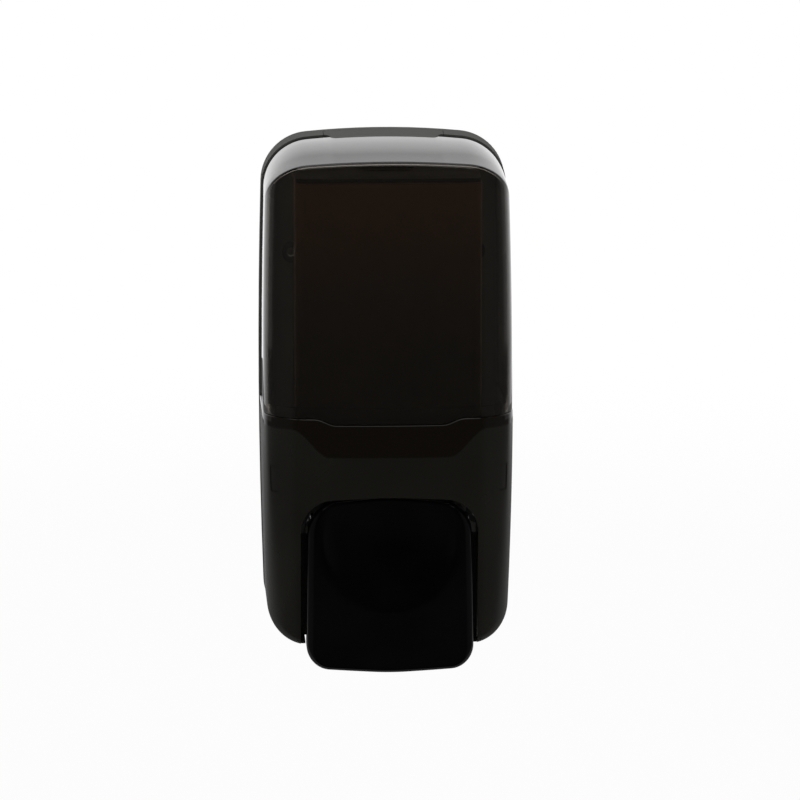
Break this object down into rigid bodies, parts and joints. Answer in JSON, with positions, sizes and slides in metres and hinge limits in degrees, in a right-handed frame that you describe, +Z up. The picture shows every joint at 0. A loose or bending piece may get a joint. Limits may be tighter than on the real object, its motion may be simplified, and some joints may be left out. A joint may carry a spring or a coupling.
{
  "type": "wall mounted soap dispenser",
  "caption": "Wall mounted manual liquid soap dispenser with a drop-down smoke cover, refillable tank, push lever, lift pump and press latch.",
  "frame": {"origin": "centre of the four wall screw holes, on the wall plane", "axes": "+Z up along the tall side, +Y into the wall, +X to the right of someone facing the dispenser"},
  "size_m": [0.1402, 0.1049, 0.2908],
  "materials": {
    "housing_textured": "fine spark-eroded texture, charcoal black ABS",
    "cover_smoke_gloss": "polished transparent smoke polycarbonate",
    "cover_smoke_satin": "satin textured smoke polycarbonate",
    "lever_black_gloss": "polished black ABS",
    "tank_brown": "blow-moulded brown-black polyethylene",
    "lid_black": "moulded black polypropylene",
    "chassis_black": "moulded glass-filled nylon, black",
    "nut_white": "moulded white polypropylene",
    "pump_natural": "moulded natural polypropylene",
    "screw_steel": "zinc-plated steel",
    "pin_steel": "ground stainless steel",
    "spring_steel": "drawn stainless spring wire",
    "ball_steel": "polished stainless steel",
    "seal_rubber": "moulded black elastomer",
    "valve_silicone": "translucent silicone"
  },
  "bodies": {
    "root": {"back_housing": "housing_textured", "chassis": "chassis_black", "chassis_screws": "screw_steel", "reservoir": "tank_brown", "reservoir_lid": "lid_black", "lid_gasket": "seal_rubber", "collar_nut": "nut_white", "neck_gasket": "seal_rubber", "pump_body": "pump_natural", "inlet_cage": "pump_natural", "inlet_ball": "ball_steel", "pump_cap": "nut_white", "pump_spring": "spring_steel", "lever_pins": "pin_steel", "hinge_pins": "pin_steel", "latch_spring": "spring_steel"},
    "cover": {"cover_window": "cover_smoke_gloss", "cover_base": "cover_smoke_satin"},
    "latch": {"latch_tab": "housing_textured"},
    "lever": {"push_lever": "lever_black_gloss", "lever_fork": "chassis_black", "fork_screws": "screw_steel"},
    "plunger": {"piston_stem": "pump_natural", "piston_seal": "seal_rubber", "nozzle_tip": "nut_white", "outlet_valve": "valve_silicone"}
  },
  "joints": [
    {"name": "cover_hinge", "type": "hinge", "parent": "root", "child": "cover", "pos_m": [0, -0.02, -0.12], "axis": [1, 0, 0], "range_deg": [0, 90]},
    {"name": "latch_press", "type": "slide", "parent": "root", "child": "latch", "axis": [0, 0, -1], "range_m": [0, 0.0025], "stiffness_N_per_m": 400, "springref_m": -0.002, "deforming": ["latch_spring"]},
    {"name": "lever_push", "type": "hinge", "parent": "root", "child": "lever", "pos_m": [0, -0.083, -0.064], "axis": [1, 0, 0], "range_deg": [0, 13], "stiffness_Nm_per_rad": 1.5, "springref_deg": -8.59},
    {"name": "pump_stroke", "type": "slide", "parent": "root", "child": "plunger", "axis": [0, 0, 1], "range_m": [0, 0.0085], "deforming": ["pump_spring"]}
  ],
  "couplings": [
    {"joint": "pump_stroke", "follows": "lever_push", "m_per_rad": 0.0371}
  ]
}
